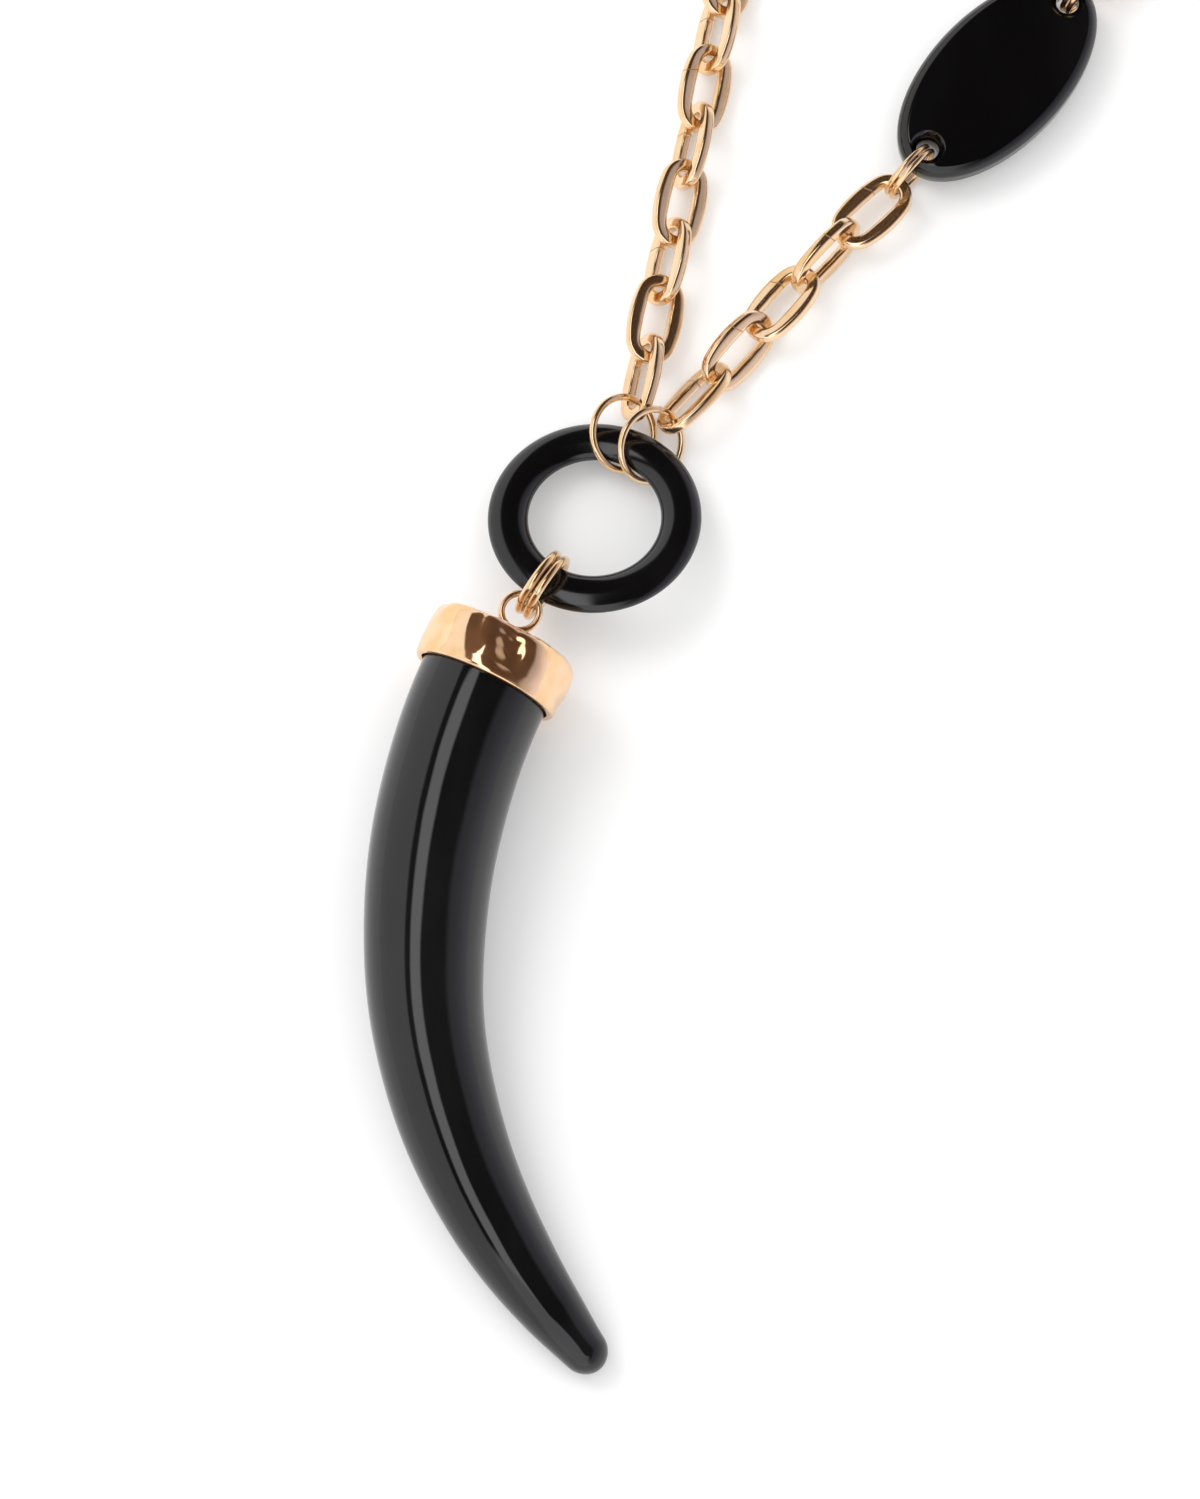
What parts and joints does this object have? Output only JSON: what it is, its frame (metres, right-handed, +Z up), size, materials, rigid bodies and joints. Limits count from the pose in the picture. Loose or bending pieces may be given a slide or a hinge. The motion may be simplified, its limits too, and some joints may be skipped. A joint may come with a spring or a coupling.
{
  "type": "horn pendant necklace",
  "caption": "Curved black horn in a hammered gold cap, hung by wire rings from a black ring on a loop of oval cable chain with one flat oval bead; worn round the neck.",
  "frame": {"origin": "on the surface that the necklace lies on, straight below the middle of the black ring", "axes": "+Z up from the surface, +Y from the horn towards the far end of the loop, +X to the side where the oval bead lies"},
  "size_m": [0.2208, 0.4148, 0.0203],
  "materials": {
    "resin": "polished black resin",
    "cap_metal": "hammered and polished, pale gold plate",
    "gold_wire": "polished, pale gold plate",
    "chain_metal": "polished flat faces, pale gold plate"
  },
  "bodies": {
    "root": {"horn": "resin", "cap": "cap_metal", "bail_ring_a": "gold_wire", "bail_ring_b": "gold_wire", "black_ring": "resin", "jump_ring_left": "gold_wire", "jump_ring_right": "gold_wire", "chain_short": "chain_metal", "bead_ring_near_a": "gold_wire", "bead_ring_near_b": "gold_wire", "oval_bead": "resin", "bead_ring_far_a": "gold_wire", "bead_ring_far_b": "gold_wire", "chain_left": "chain_metal", "chain_right": "chain_metal"}
  },
  "joints": []
}
